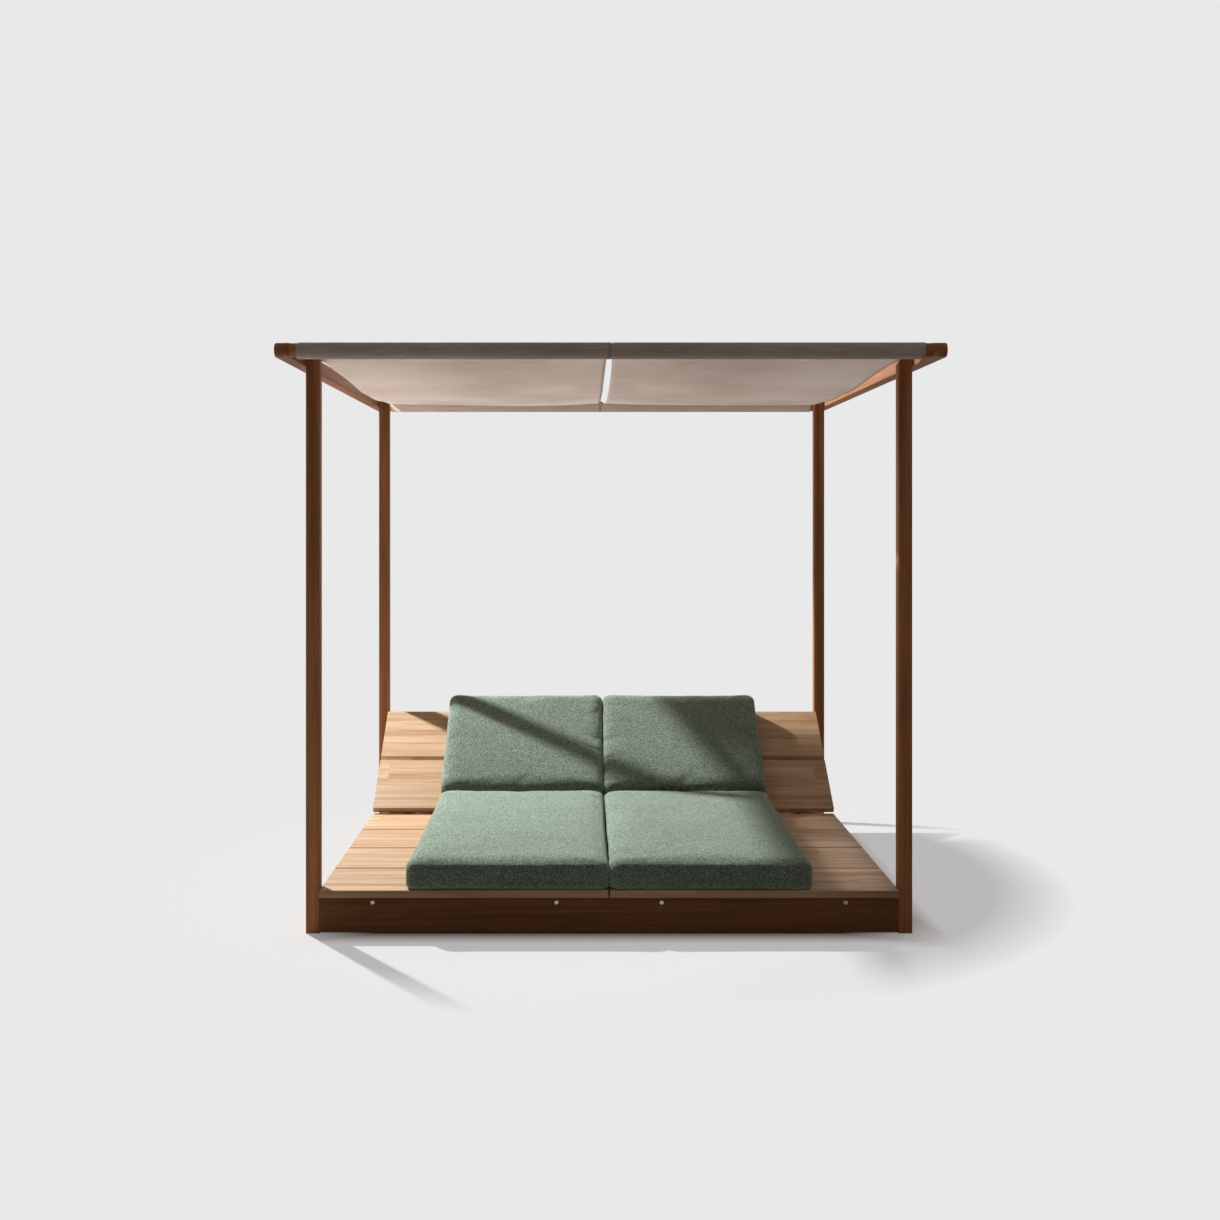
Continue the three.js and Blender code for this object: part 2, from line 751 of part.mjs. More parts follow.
// Distance of the canvas's edges from the middle of the daybed: straight along the pockets, then
// drawn in by the pull of the hanging sheet.
function canvasEdges(y) {
  const share = Math.min(Math.abs(y) / seamY, 1);
  const outer = postOuter - canvasSideInset - canvasEdgeDrawIn * (1 - share ** drawInPower);
  const inner = canvasCentreGap + (canvasSlitHalf - canvasCentreGap) * (1 - share ** slitPower);
  return [inner, outer];
}

// One stretch of a panel, spread between the panel's two edges.
function canvasStretch(section, side, turned) {
  const settings = { depth: 1, bevelEnabled: false, steps: canvasSteps };
  const stretch = alongX(new THREE.ExtrudeGeometry(section, settings));
  if (turned) {
    stretch.translate(-half, 0, 0).rotateZ(Math.PI).translate(half, 0, 0);
  }
  const places = stretch.attributes.position;
  for (let i = 0; i < places.count; i++) {
    const [inner, outer] = canvasEdges(places.getY(i));
    const edges = side.sign < 0 ? [-outer, -inner] : [inner, outer];
    places.setX(i, THREE.MathUtils.lerp(...edges, places.getX(i)));
  }
  return stretch;
}

function addCanvas(side) {
  const sheet = sheetSections().map((section) => canvasStretch(section, side, false));
  const pockets = [false, true].map((turned) => canvasStretch(rearPocketSection(), side, turned));
  addPiece(daybed, `canopy_canvas_${side.name}`, fuse([...sheet, ...pockets]), canvas);
}

for (const side of sides) {
  for (const end of ends) {
    addPost(side, end);
    addBeamBolt(side, end);
  }
  addBeam(side);
  addCanvas(side);
  addFixedBoards(side);
  addSeatCushion(side);
  addBack(side);
  for (const railSide of sides) {
    addHingeBolt(railSide, side);
  }
}
for (const end of ends) {
  addBar(end);
  addFascia(end);
  for (const place of railPlaces()) {
    addFasciaBolt(place, end);
  }
}
for (const place of railPlaces()) {
  addRail(place);
}

export default daybed;
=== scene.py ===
import math

import bmesh
import bpy
from mathutils import Matrix, Vector, noise


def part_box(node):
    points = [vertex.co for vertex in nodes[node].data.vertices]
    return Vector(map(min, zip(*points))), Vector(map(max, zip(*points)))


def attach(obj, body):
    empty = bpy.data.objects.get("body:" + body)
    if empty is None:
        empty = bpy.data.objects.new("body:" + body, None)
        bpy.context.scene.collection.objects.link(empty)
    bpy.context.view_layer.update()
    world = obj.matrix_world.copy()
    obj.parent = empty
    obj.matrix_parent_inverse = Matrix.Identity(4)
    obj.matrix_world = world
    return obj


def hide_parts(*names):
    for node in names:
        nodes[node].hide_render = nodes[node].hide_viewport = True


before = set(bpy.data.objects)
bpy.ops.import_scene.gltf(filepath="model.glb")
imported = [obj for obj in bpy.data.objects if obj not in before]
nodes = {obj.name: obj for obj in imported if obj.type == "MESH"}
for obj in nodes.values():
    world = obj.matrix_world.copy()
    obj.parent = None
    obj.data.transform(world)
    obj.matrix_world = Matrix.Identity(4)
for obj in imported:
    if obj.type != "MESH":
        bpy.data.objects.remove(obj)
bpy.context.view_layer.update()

# Sizes of the daybed, in metres. X is to the right, Y to the rear, Z up.
X, Y, Z = 0, 1, 2
SIDES = (("left", -1), ("right", 1))
ENDS = (("front", -1), ("rear", 1))
MODULE_CENTRE = 0.503
PIVOT = Vector((0.0, 0.312, 0.118))
REST_TILT = math.radians(35)
DECK_TOP = 0.156
CUSHION_CENTRE = 0.353
BAR_Y = 1.242
BAR_Z = 1.997
BAR_RADIUS = 0.023
POST_OUTER = 1.055
FRAME_HALF_DEPTH = 0.959


# Objects and meshes

SAME_PLACE = 1e-6


def placed(name, data):
    """A new object at the origin, linked to the scene."""
    made = bpy.data.objects.new(name, data)
    bpy.context.scene.collection.objects.link(made)
    return made


def object_from(bm, name):
    """Turns a bmesh into an object at the origin."""
    mesh = bpy.data.meshes.new(name)
    bm.to_mesh(mesh)
    bm.free()
    return placed(name, mesh)


def shade_smooth(mesh):
    mesh.polygons.foreach_set("use_smooth", [True] * len(mesh.polygons))


def dress(made, material):
    made.data.materials.clear()
    made.data.materials.append(material)
    return made


def piece_from(bm, name, material, body, replaced):
    """Turns a bmesh into a smooth piece that rides on a body and stands for a CAD node."""
    made = dress(object_from(bm, name), material)
    shade_smooth(made.data)
    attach(made, body)
    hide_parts(replaced)
    return made


def applied(made):
    """The object with its modifiers applied."""
    graph = bpy.context.evaluated_depsgraph_get()
    mesh = bpy.data.meshes.new_from_object(made.evaluated_get(graph), depsgraph=graph)
    old = made.data
    made.modifiers.clear()
    made.data = mesh
    bpy.data.meshes.remove(old)
    return made


def edges_along(bm, axis):
    """The edges that run along one axis."""
    others = [i for i in (X, Y, Z) if i != axis]
    return [
        edge for edge in bm.edges
        if all(abs(edge.verts[0].co[i] - edge.verts[1].co[i]) < SAME_PLACE for i in others)
    ]


def noise_at(parts, counts):
    """Smooth noise at a point whose parts are each multiplied by a count."""
    return noise.noise(Vector([part * n for part, n in zip(parts, counts)]))


def flat_edges_at(bm, height):
    """The edges that lie level at one height."""
    return [
        edge for edge in bm.edges
        if all(abs(vertex.co.z - height) < SAME_PLACE for vertex in edge.verts)
    ]


# Shader building blocks


class Wires:
    """Adds nodes to one tree and joins them."""

    def __init__(self, tree):
        self.tree = tree

    def add(self, kind, inputs=None, **settings):
        node = self.tree.nodes.new(kind)
        for key, value in settings.items():
            setattr(node, key, value)
        for key, value in (inputs or {}).items():
            self.feed(node.inputs[key], value)
        return node

    def feed(self, socket, value):
        if isinstance(value, bpy.types.NodeSocket):
            self.tree.links.new(value, socket)
        else:
            socket.default_value = value

    def place(self):
        """The point on the piece, in metres."""
        return self.add("ShaderNodeTexCoord").outputs["Object"]

    def moved(self, vector, **moves):
        inputs = {"Vector": vector, **moves}
        return self.add("ShaderNodeMapping", inputs, vector_type="POINT").outputs[0]

    def parted(self, vector):
        return self.add("ShaderNodeSeparateXYZ", {0: vector}).outputs

    def joined(self, x, y, z=0.0):
        return self.add("ShaderNodeCombineXYZ", {0: x, 1: y, 2: z}).outputs[0]

    def stretched(self, parts, counts):
        """A point from parts that are each multiplied by a count."""
        return self.joined(*[self.math("MULTIPLY", part, n) for part, n in zip(parts, counts)])

    def math(self, operation, a, b=0.0):
        return self.add("ShaderNodeMath", {0: a, 1: b}, operation=operation).outputs[0]

    def weighted(self, a, a_share, b, b_share):
        """The sum of two values, each multiplied by its share."""
        a_part = self.math("MULTIPLY", a, a_share)
        return self.math("ADD", a_part, self.math("MULTIPLY", b, b_share))

    def vector(self, operation, a, b):
        return self.add("ShaderNodeVectorMath", {0: a, 1: b}, operation=operation).outputs[0]

    def length(self, vector):
        return self.add("ShaderNodeVectorMath", {0: vector}, operation="LENGTH").outputs["Value"]

    def span(self, value, low, high, to_low=0.0, to_high=1.0):
        """Takes low to to_low and high to to_high, and holds those ends beyond them."""
        inputs = {0: value, 1: low, 2: high, 3: to_low, 4: to_high}
        return self.add("ShaderNodeMapRange", inputs, clamp=True).outputs[0]

    def noise(self, vector, scale, detail, roughness, distortion=0.0):
        inputs = {"Vector": vector, "Scale": scale, "Detail": detail}
        inputs.update({"Roughness": roughness, "Distortion": distortion})
        return self.add("ShaderNodeTexNoise", inputs).outputs[0]

    def mix(self, factor, a, b, blend="MIX"):
        inputs = {0: factor, 6: a, 7: b}
        return self.add("ShaderNodeMix", inputs, data_type="RGBA", blend_type=blend).outputs[2]

    def grey(self, value):
        return self.joined(value, value, value)

    def toned(self, colour, value):
        """A colour times a grey value."""
        return self.mix(1.0, colour, self.grey(value), "MULTIPLY")

    def ramp(self, value, stops):
        node = self.add("ShaderNodeValToRGB", {0: value})
        elements = node.color_ramp.elements
        while len(elements) < len(stops):
            elements.new(0.5)
        for element, (place, colour) in zip(elements, stops):
            element.position = place
            element.color = colour
        return node.outputs[0]

    def bump(self, height, strength, distance):
        inputs = {"Strength": strength, "Distance": distance, "Height": height}
        return self.add("ShaderNodeBump", inputs).outputs[0]

    def principled(self, inputs):
        return self.add("ShaderNodeBsdfPrincipled", inputs).outputs[0]

    def blended(self, factor, a, b):
        return self.add("ShaderNodeMixShader", {0: factor, 1: a, 2: b}).outputs[0]

    def surface(self, shader, kind="ShaderNodeOutputMaterial"):
        self.add(kind, {"Surface": shader})


def new_material(name):
    """An empty material and the wires of its nodes."""
    material = bpy.data.materials.new(name)
    material.use_nodes = True
    material.node_tree.nodes.clear()
    return material, Wires(material.node_tree)


def new_group(name, inputs, outputs):
    """An empty node group, its wires, what it is given and what it makes."""
    group = bpy.data.node_groups.new(name, "ShaderNodeTree")
    for direction, sockets in (("INPUT", inputs), ("OUTPUT", outputs)):
        for label, kind in sockets:
            group.interface.new_socket(label, in_out=direction, socket_type=kind)
    wires = Wires(group)
    return group, wires, wires.add("NodeGroupInput").outputs, wires.add("NodeGroupOutput").inputs


def srgb(red, green, blue):
    """A colour written in 0 to 255 as the renderer's linear colour."""
    shares = [channel / 255 for channel in (red, green, blue)]
    return (*[c / 12.92 if c < 0.04045 else ((c + 0.055) / 1.055) ** 2.4 for c in shares], 1.0)


def darker(colour, share):
    return (*[channel * share for channel in colour[:3]], 1.0)


# Timber. A stretch says how often a pattern changes in a metre along the grain, across the staves
# and through the depth. A stave is its width and its length; whole timbers have one long stave.

RING_STRETCH = (1.1, 26.0, 20.0)
LINE_STRETCH = (3.0, 190.0, 150.0)
PORE_STRETCH = (60.0, 900.0, 900.0)
RING_SHARE = 0.68
LINE_SHARE = 0.32
PORE_LEVELS = (0.36, 0.46)
FIGURE_SHIFT = 4.0
ROW_SHIFT = 3.0
STAVE_SHIFT = 17.0
STAVE_SHIFT_ACROSS = 0.37
JOINT_REACH = (0.0002, 0.0009)
JOINT_DEPTH = 0.6
PORE_DEPTH = 0.5
LINE_HEIGHT = 0.5
HANDLING_SCALE = 1.7

DECK_STAVES = (0.11, 1.9)
WHOLE_TIMBER = (0.2, 40.0)
WHOLE_FASCIA = (0.3, 40.0)
DECK_TONES = (srgb(160, 119, 82), srgb(195, 160, 125), srgb(214, 187, 158))
FRAME_TONES = (srgb(125, 77, 46), srgb(162, 105, 65), srgb(187, 129, 85))
# The fascia's tones are darker than the frame's, in part as painted shade under the deck's overhang
FASCIA_TONES_WITH_SHADE = (srgb(84, 50, 24), srgb(113, 71, 37), srgb(136, 90, 49))
RING_LEVELS = (0.34, 0.5, 0.66)
STAVE_TONES = (0.9, 1.045)
HANDLED_TONES = (0.92, 1.04)
PATCH_LEVELS = (0.35, 0.65)
PORE_DARKNESS = 0.28
JOINT_DARKNESS = 0.45
JOINT_SHADE = 0.55
ROUGHNESS_LEVELS = (0.3, 0.7)
RING_ROUGHNESS = (0.65, 0.48)


def timber_figure_group():
    """Glued staves with growth rings and pores. Along runs with the grain and Across over the
    staves."""
    given_names = ("Along", "Across", "Depth", "Stave Width", "Stave Length")
    made_names = ("Figure", "Tone", "Joint", "Pores", "Height")
    inputs, outputs = (
        [(label, "NodeSocketFloat") for label in names] for names in (given_names, made_names)
    )
    group, w, given, made = new_group("timber_figure", inputs, outputs)
    row = w.math("DIVIDE", given["Across"], given["Stave Width"])
    row_number = w.math("FLOOR", row)
    row_draw = w.add("ShaderNodeTexWhiteNoise", {"W": row_number}, noise_dimensions="1D").outputs[0]
    shifted = w.math("ADD", given["Along"], FIGURE_SHIFT)
    shifted = w.math("ADD", shifted, w.math("MULTIPLY", row_draw, ROW_SHIFT))
    piece = w.math("DIVIDE", shifted, given["Stave Length"])
    stave_number = w.joined(row_number, w.math("FLOOR", piece))
    inputs = {"Vector": stave_number}
    draw = w.add("ShaderNodeTexWhiteNoise", inputs, noise_dimensions="2D").outputs[0]
    offset = w.math("MULTIPLY", draw, STAVE_SHIFT)
    place = (
        w.math("ADD", given["Along"], offset),
        w.math("ADD", given["Across"], w.math("MULTIPLY", offset, STAVE_SHIFT_ACROSS)),
        w.math("ADD", given["Depth"], offset),
    )
    rings = w.noise(
        w.stretched(place, RING_STRETCH), scale=1.0, detail=5.0, roughness=0.62, distortion=0.35,
    )
    lines = w.noise(w.stretched(place, LINE_STRETCH), scale=1.0, detail=3.0, roughness=0.6)
    pores = w.noise(w.stretched(place, PORE_STRETCH), scale=1.0, detail=2.0, roughness=0.5)
    gaps = []
    for count, size in ((row, given["Stave Width"]), (piece, given["Stave Length"])):
        off_middle = w.math("ABSOLUTE", w.math("SUBTRACT", w.math("FRACT", count), 0.5))
        gaps.append(w.math("MULTIPLY", w.math("SUBTRACT", 0.5, off_middle), size))
    joint = w.span(w.math("MINIMUM", *gaps), *JOINT_REACH, 1.0, 0.0)
    dark_pores = w.span(pores, *PORE_LEVELS, 1.0, 0.0)
    low = w.weighted(joint, JOINT_DEPTH, dark_pores, PORE_DEPTH)
    high = w.math("MULTIPLY", lines, LINE_HEIGHT)
    w.feed(made["Figure"], w.weighted(rings, RING_SHARE, lines, LINE_SHARE))
    w.feed(made["Tone"], draw)
    w.feed(made["Joint"], joint)
    w.feed(made["Pores"], dark_pores)
    w.feed(made["Height"], w.math("SUBTRACT", high, low))
    return group


def handling_group():
    """Slow uneven patches where timber has been touched and weathered."""
    inputs = [("Vector", "NodeSocketVector"), ("Scale", "NodeSocketFloat")]
    outputs = [("Patches", "NodeSocketFloat")]
    group, w, given, made = new_group("handling", inputs, outputs)
    broad = w.noise(given["Vector"], given["Scale"], detail=3.0, roughness=0.55, distortion=0.4)
    w.feed(made["Patches"], w.span(broad, *PATCH_LEVELS))
    return group


TIMBER_FIGURE = timber_figure_group()
HANDLING = handling_group()


def timber(name, along, across, tones, stave, tilt=0.0):
    """Oiled hardwood. along and across name the axes of the grain and of the staves. tones go from
    the dark rings to the pale ones. tilt undoes the lean of a back and of what folds with it."""
    material, w = new_material(name)
    place = w.place()
    if tilt:
        place = w.moved(w.moved(place, Location=-PIVOT), Rotation=(-tilt, 0.0, 0.0))
    axes = w.parted(place)
    depth = ({X, Y, Z} - {along, across}).pop()
    inputs = {"Along": axes[along], "Across": axes[across], "Depth": axes[depth]}
    inputs.update({"Stave Width": stave[0], "Stave Length": stave[1]})
    figure = w.add("ShaderNodeGroup", inputs, node_tree=TIMBER_FIGURE).outputs
    inputs = {"Vector": place, "Scale": HANDLING_SCALE}
    patches = w.add("ShaderNodeGroup", inputs, node_tree=HANDLING).outputs["Patches"]
    dark = tones[0]
    colour = w.ramp(figure["Figure"], list(zip(RING_LEVELS, tones)))
    colour = w.toned(colour, w.span(figure["Tone"], 0.0, 1.0, *STAVE_TONES))
    colour = w.toned(colour, w.span(patches, 0.0, 1.0, *HANDLED_TONES))
    colour = w.mix(w.math("MULTIPLY", figure["Pores"], PORE_DARKNESS), colour, dark)
    joint = w.math("MULTIPLY", figure["Joint"], JOINT_DARKNESS)
    colour = w.mix(joint, colour, darker(dark, JOINT_SHADE))
    shader = w.principled({
        "Base Color": colour,
        "Roughness": w.span(figure["Figure"], *ROUGHNESS_LEVELS, *RING_ROUGHNESS),
        "Normal": w.bump(figure["Height"], strength=0.35, distance=0.0006),
        "Specular IOR Level": 0.22,
    })
    w.surface(shader)
    return material


# Steel, upholstery and canvas

STEEL_LEVELS = (0.7, 1.3)
STEEL_SMOOTHEST = -0.06
STEEL_ROUGHEST = 0.1
SMUDGE_LEVELS = (0.4, 0.7)
SMUDGE_SHADE = 0.85
# Painted shade in bolt sockets: how far the occlusion looks, and the colour scale from deep to open
SOCKET_SHADE_REACH = 0.004
SOCKET_SHADE_LEVELS = (0.5, 0.85)
SOCKET_SHADE_TONES = (0.06, 1.0)
BOUCLE_TONES = (
    (0.2, srgb(64, 86, 73)), (0.36, srgb(108, 131, 115)), (0.55, srgb(149, 168, 152)),
    (0.74, srgb(182, 196, 182)), (0.86, srgb(224, 230, 217)),
)
# Colour of the painted shade in the hollows between nubs
BOUCLE_HOLLOW_SHADE = srgb(56, 76, 66)
BOUCLE_SHEEN = srgb(226, 240, 226)
BOUCLE_PATCHES = (0.95, 1.05)
NUB_COUNT = 480.0
NUB_STRETCH = (1.0, 0.62, 0.8)
NUB_BEND = 0.004
NUB_SHARE = 0.62
FLECK_SHARE = 0.38
FLECK_HEIGHT = 0.6
HOLLOW_LEVELS = (0.28, 0.72)
HOLLOW_SHADE_DARKNESS = 0.4
# Painted shade on faces seen straight on and painted sheen on faces seen at a slant, as scales of
# the colour by facing
PAINTED_SHADE_STRAIGHT_ON = {"low": 0.0, "high": 0.3, "to_low": 0.74, "to_high": 1.0}
PAINTED_SHEEN_AT_A_SLANT = {"low": 0.3, "high": 0.85, "to_low": 1.0, "to_high": 1.6}
CANVAS_TONES = (
    (0.3, srgb(187, 174, 165)), (0.5, srgb(221, 210, 203)), (0.7, srgb(240, 234, 230)),
)
SLOW_STRETCH = (3.0, 30.0)
SLUB_STRETCH = (9.0, 320.0)
SLUB_SHARE = 0.6
BROAD_SHARE = 0.4
RIB_WAVES = 1450.0
RIB_DRIFT = 5.0
YARN_WAVES = 3100.0
RIB_HEIGHT = 0.6
YARN_HEIGHT = 0.25
WEAVE_LEVELS = (-0.85, 0.85)
WEAVE_TONES = (0.9, 1.05)
CANVAS_LIGHT_THROUGH = 0.5


def brushed_steel(name, shade, roughness):
    """Stainless steel with a fine grain and smudges, and a painted shade that darkens the depth of
    a bolt's socket.
    """
    material, w = new_material(name)
    place = w.place()
    grain = w.noise(place, scale=900.0, detail=2.0, roughness=0.6)
    smudge = w.noise(place, scale=60.0, detail=3.0, roughness=0.5)
    ends = (roughness + STEEL_SMOOTHEST, roughness + STEEL_ROUGHEST)
    rough = w.span(w.math("ADD", grain, smudge), *STEEL_LEVELS, *ends)
    colour = w.mix(w.span(smudge, *SMUDGE_LEVELS), shade, darker(shade, SMUDGE_SHADE))
    # Painted shade: local ambient occlusion darkens the colour deep in a bolt's socket
    inputs = {"Distance": SOCKET_SHADE_REACH}
    socket_occlusion = w.add("ShaderNodeAmbientOcclusion", inputs, only_local=True, samples=8).outputs["AO"]
    shader = w.principled({
        "Base Color": w.toned(colour, w.span(socket_occlusion, *SOCKET_SHADE_LEVELS, *SOCKET_SHADE_TONES)),
        "Roughness": rough,
        "Normal": w.bump(grain, strength=0.2, distance=0.0002),
        "Metallic": 1.0,
    })
    w.surface(shader)
    return material


def boucle(name, tilt):
    """Sage tweed with looped yarn: small nubs of pale, middle and dark green in short runs, with
    painted shade in the hollows between them, painted shade where it is seen straight on and a
    painted sheen where it is seen at a slant. tilt undoes the lean of the raised back."""
    material, w = new_material(name)
    place = w.place()
    if tilt:
        place = w.moved(place, Rotation=(-tilt, 0.0, 0.0))
    inputs = {"Vector": place, "Scale": 90.0, "Detail": 2.0}
    wobble = w.add("ShaderNodeTexNoise", inputs).outputs[1]
    inputs = {0: w.vector("SUBTRACT", wobble, (0.5, 0.5, 0.5)), "Scale": NUB_BEND}
    bend = w.add("ShaderNodeVectorMath", inputs, operation="SCALE").outputs[0]
    runs = w.vector("MULTIPLY", w.vector("ADD", place, bend), NUB_STRETCH)
    inputs = {"Vector": runs, "Scale": NUB_COUNT, "Randomness": 0.85}
    nubs = w.add("ShaderNodeTexVoronoi", inputs).outputs
    draw = w.add("ShaderNodeSeparateColor", {0: nubs["Color"]}).outputs[0]
    flecks = w.noise(runs, scale=130.0, detail=4.5, roughness=0.8)
    colour = w.ramp(w.weighted(draw, NUB_SHARE, flecks, FLECK_SHARE), BOUCLE_TONES)
    # Painted shade: the colour darkens in the hollows between nubs, and the same mask lowers the
    # bump there
    hollow = w.span(nubs["Distance"], *HOLLOW_LEVELS)
    colour = w.mix(w.math("MULTIPLY", hollow, HOLLOW_SHADE_DARKNESS), colour, BOUCLE_HOLLOW_SHADE)
    height = w.weighted(hollow, -1.0, flecks, FLECK_HEIGHT)
    broad = w.noise(place, scale=5.0, detail=3.0, roughness=0.5)
    colour = w.toned(colour, w.span(broad, *PATCH_LEVELS, *BOUCLE_PATCHES))
    # Painted shade and painted sheen: faces seen straight on are darkened, faces seen at a slant
    # are made paler
    slant = w.add("ShaderNodeLayerWeight", {"Blend": 0.5}).outputs["Facing"]
    painted_sheen_and_shade = w.math("MULTIPLY", w.span(slant, **PAINTED_SHADE_STRAIGHT_ON), w.span(slant, **PAINTED_SHEEN_AT_A_SLANT))
    colour = w.toned(colour, painted_sheen_and_shade)
    shader = w.principled({
        "Base Color": colour,
        "Normal": w.bump(height, strength=0.85, distance=0.0028),
        "Roughness": 0.95,
        "Specular IOR Level": 0.1,
        "Sheen Tint": BOUCLE_SHEEN,
        "Sheen Weight": 0.4,
        "Sheen Roughness": 0.5,
    })
    w.surface(shader)
    return material


def canvas_cloth(name):
    """Woven awning cloth with crosswise ribs, drawn in the cut's own metres: U across, V along."""
    material, w = new_material(name)
    cut = w.add("ShaderNodeUVMap", uv_map="cut").outputs[0]
    u, v, _ = w.parted(cut)
    slow = w.noise(w.stretched((u, v), SLOW_STRETCH), scale=1.0, detail=3.0, roughness=0.55)
    slubs = w.noise(w.stretched((u, v), SLUB_STRETCH), scale=1.0, detail=3.0, roughness=0.6)
    ribs = w.math("SINE", w.weighted(v, RIB_WAVES, slow, RIB_DRIFT))
    yarns = w.math("SINE", w.math("MULTIPLY", u, YARN_WAVES))
    weave = w.weighted(ribs, RIB_HEIGHT, yarns, YARN_HEIGHT)
    broad = w.noise(cut, scale=1.6, detail=3.0, roughness=0.5)
    colour = w.ramp(w.weighted(slubs, SLUB_SHARE, broad, BROAD_SHARE), CANVAS_TONES)
    colour = w.toned(colour, w.span(weave, *WEAVE_LEVELS, *WEAVE_TONES))
    bump = w.bump(weave, strength=0.4, distance=0.0006)
    cloth = w.principled({
        "Base Color": colour, "Normal": bump,
        "Roughness": 0.9, "Specular IOR Level": 0.2, "Sheen Weight": 0.15,
    })
    through = w.add("ShaderNodeBsdfTranslucent", {"Color": colour, "Normal": bump}).outputs[0]
    w.surface(w.blended(CANVAS_LIGHT_THROUGH, cloth, through))
    return material


deck_wood = timber("deck_wood", X, Y, DECK_TONES, DECK_STAVES)
back_wood = timber("back_wood", X, Y, DECK_TONES, DECK_STAVES, tilt=REST_TILT)
post_wood = timber("post_wood", Z, X, FRAME_TONES, WHOLE_TIMBER)
beam_wood = timber("beam_wood", Y, X, FRAME_TONES, WHOLE_TIMBER)
bar_wood = timber("bar_wood", X, Y, FRAME_TONES, WHOLE_TIMBER)
# The fascia's timber, darker in part as painted shade
fascia_shaded_wood = timber("fascia_shaded_wood", X, Z, FASCIA_TONES_WITH_SHADE, WHOLE_FASCIA)
rail_wood = timber("rail_wood", Y, X, FRAME_TONES, WHOLE_TIMBER)
arm_wood = timber("arm_wood", Y, X, FRAME_TONES, WHOLE_TIMBER, tilt=REST_TILT)
leg_wood = timber("leg_wood", Y, X, FRAME_TONES, WHOLE_TIMBER, tilt=-REST_TILT)
bright_steel = brushed_steel("bright_steel", srgb(205, 203, 198), 0.3)
rod_steel = brushed_steel("rod_steel", srgb(160, 160, 158), 0.38)
seat_boucle = boucle("seat_boucle", 0.0)
back_boucle = boucle("back_boucle", REST_TILT)
canopy_cloth = canvas_cloth("canopy_cloth")

# The finish of each CAD node, found by the start of its name. The first match counts.
CAD_FINISHES = (
    ("post_", post_wood), ("side_beam_", beam_wood), ("canopy_bar_", bar_wood),
    ("fascia_bolt_", bright_steel), ("fascia_", fascia_shaded_wood), ("rail_", rail_wood),
    ("deck_board_", deck_wood), ("back_board_", back_wood), ("back_arm_", arm_wood),
    ("prop_leg_", leg_wood), ("prop_", rod_steel), ("hinge_bolt_", bright_steel),
    ("beam_bolt_", bright_steel), ("seat_cushion_", seat_boucle), ("back_cushion_", back_boucle),
    ("canopy_canvas_", canopy_cloth),
)
for name, node in nodes.items():
    dress(node, next(material for start, material in CAD_FINISHES if name.startswith(start)))


# Cushions

SEAT_FRONT = -0.990
SEAT_REAR = 0.285
BACK_PAD_START = 0.071
BACK_PAD_END = 0.686
CUSHION_ABOVE_DECK = 0.0004
CUSHION_WIDTH = 0.712
CUSHION_SIDE_LIMIT = 0.3527
CUSHION_CROWN_HEIGHT = 0.122
CUSHION_FRONT_HEIGHT = 0.098
CUSHION_REAR_HEIGHT = 0.115
CUSHION_CORNER = 0.038
CUSHION_CORNER_STEPS = 6
CUSHION_TOP_EDGE = 0.027
CUSHION_TOP_STEPS = 5
CUSHION_BASE_EDGE = 0.012
CUSHION_BASE_STEPS = 3
CUSHION_VOXEL = 0.010

# The filling, by the names of the cloth simulation's settings
FILLING = {
    "quality": 5, "mass": 0.4, "tension_stiffness": 25, "compression_stiffness": 25,
    "shear_stiffness": 12, "bending_stiffness": 2.5, "use_pressure": True,
    "uniform_pressure_force": 4.0,
}
FILLING_STEPS = 20
SWELL_CAP = 0.014

# The cover's wrinkles and the creases at its long sides
WRINKLE_HEIGHT = 0.002
FINE_WRINKLE_SHARE = 0.35
BROAD_WRINKLE_COUNT = 5.5
FINE_WRINKLE_COUNTS = (7, 16, 9)
COVER_SHIFT = (7.31, 3.17, 0.0)
BACK_SEED_SHIFT = 4
DENT_COUNT = 5
DENT_DRAW = (3.1, 1.7, 0.5)
DENT_LEAST = 0.5
DENT_REACH = 0.10
DENT_DEPTH = 0.0028
DENT_WIDTH = 0.011
DENT_SPREAD = 0.72
DENT_STRAY = 0.06
DENT_SLANT = 0.5


def cushion_blank(name, length, tops):
    """A box with round upright corners, soft top edges and tight base edges, remeshed evenly. Its
    base lies on Z = 0, and tops are its heights at the front and at the rear."""
    height = max(tops)
    bm = bmesh.new()
    bmesh.ops.create_cube(bm, size=1.0)
    bmesh.ops.scale(bm, vec=(CUSHION_WIDTH, length, height), verts=bm.verts)
    bmesh.ops.translate(bm, vec=(0, 0, height / 2), verts=bm.verts)
    for find, where, radius, steps in (
        (edges_along, Z, CUSHION_CORNER, CUSHION_CORNER_STEPS),
        (flat_edges_at, height, CUSHION_TOP_EDGE, CUSHION_TOP_STEPS),
        (flat_edges_at, 0.0, CUSHION_BASE_EDGE, CUSHION_BASE_STEPS),
    ):
        bmesh.ops.bevel(
            bm, geom=find(bm, where), offset=radius, segments=steps, profile=0.5,
            affect="EDGES", material=-1, clamp_overlap=True,
        )
    for vertex in bm.verts:
        share = vertex.co.y / length + 0.5
        vertex.co.z *= (tops[0] + (tops[1] - tops[0]) * share) / height
    blank = object_from(bm, name)
    remesh = blank.modifiers.new("even", "REMESH")
    remesh.mode = "VOXEL"
    remesh.voxel_size = CUSHION_VOXEL
    return applied(blank)


